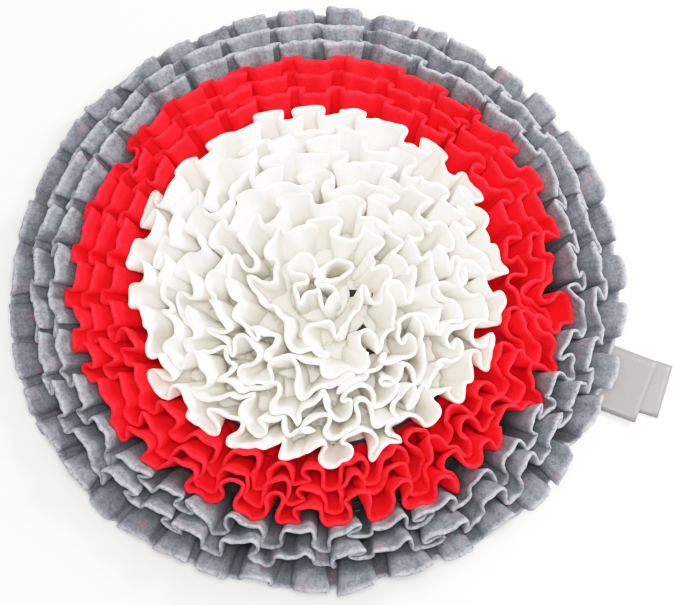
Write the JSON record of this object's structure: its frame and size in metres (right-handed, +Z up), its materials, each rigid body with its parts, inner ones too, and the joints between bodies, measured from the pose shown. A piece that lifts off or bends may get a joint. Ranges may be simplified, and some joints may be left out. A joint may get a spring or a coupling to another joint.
{
  "type": "snuffle mat",
  "caption": "Round snuffle mat for pets: rings of pleated fleece ruffle in grey, red and cream, sewn on a round felt base, with gaps between them that hide treats.",
  "frame": {"origin": "middle of the flat underside of the base", "axes": "+Z up out of the ruffles, +Y towards the far side of the mat as it is used, +X to its right, where the label is"},
  "size_m": [0.4807, 0.451, 0.0466],
  "materials": {
    "base_felt": "dense charcoal felt, matt",
    "grey_fleece": "brushed heather grey fleece",
    "red_fleece": "brushed red fleece",
    "cream_fleece": "brushed cream fleece",
    "label_satin": "pale satin ribbon, blank"
  },
  "bodies": {
    "root": {"base_felt": "base_felt", "grey_ruffle_1": "grey_fleece", "grey_ruffle_2": "grey_fleece", "grey_ruffle_3": "grey_fleece", "red_ruffle_1": "red_fleece", "red_ruffle_2": "red_fleece", "red_ruffle_3": "red_fleece", "cream_ruffle_1": "cream_fleece", "cream_ruffle_2": "cream_fleece", "cream_ruffle_3": "cream_fleece", "cream_ruffle_4": "cream_fleece", "cream_ruffle_5": "cream_fleece", "cream_ruffle_6": "cream_fleece", "cream_ruffle_7": "cream_fleece", "care_label_under": "label_satin", "care_label_top": "label_satin"}
  },
  "joints": []
}
